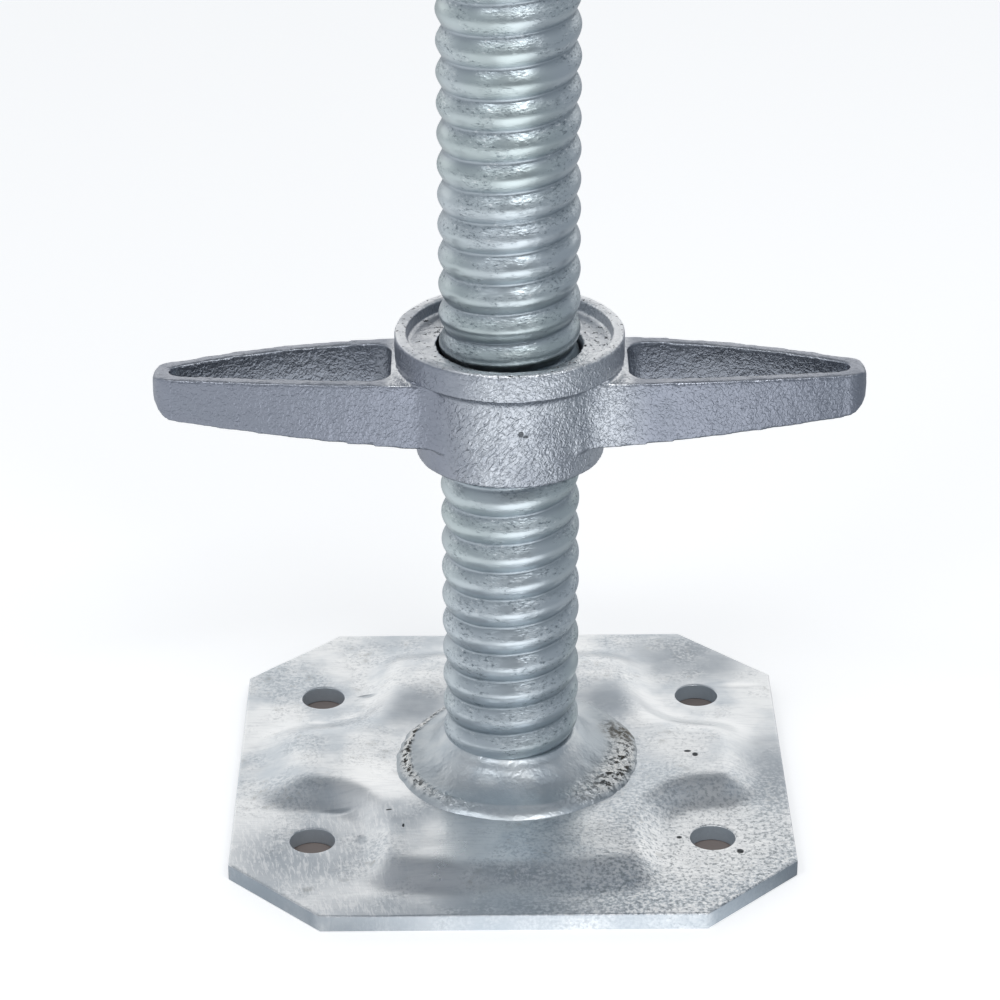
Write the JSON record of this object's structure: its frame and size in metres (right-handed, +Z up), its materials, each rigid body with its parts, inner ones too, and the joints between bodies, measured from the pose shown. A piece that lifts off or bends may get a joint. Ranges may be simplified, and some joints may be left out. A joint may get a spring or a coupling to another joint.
{
  "type": "scaffold base jack",
  "caption": "Screw jack for a scaffold's foot: pressed base plate, hollow rope-threaded spindle and a cast wing nut whose cup carries the tube.",
  "frame": {"origin": "centre of the base plate's underside, on the ground", "axes": "+Z up along the spindle, +X along the nut's wings as it is stored, +Y along the other side of the square plate"},
  "size_m": [0.1866, 0.15, 0.6],
  "materials": {
    "galvanised_plate": "hot-dip galvanised, pale and speckled",
    "galvanised_weld": "hot-dip galvanised weld metal",
    "galvanised_tube": "hot-dip galvanised, bright on the crests",
    "galvanised_casting": "rough casting, hot-dip galvanised, matt"
  },
  "bodies": {
    "base": {"base_plate": "galvanised_plate", "weld_bead": "galvanised_weld", "spindle": "galvanised_tube"},
    "nut": {"wing_nut": "galvanised_casting"}
  },
  "joints": [
    {"name": "nut_travel", "type": "slide", "parent": "base", "child": "nut", "axis": [0, 0, 1], "range_m": [-0.08, 0.31]}
  ]
}
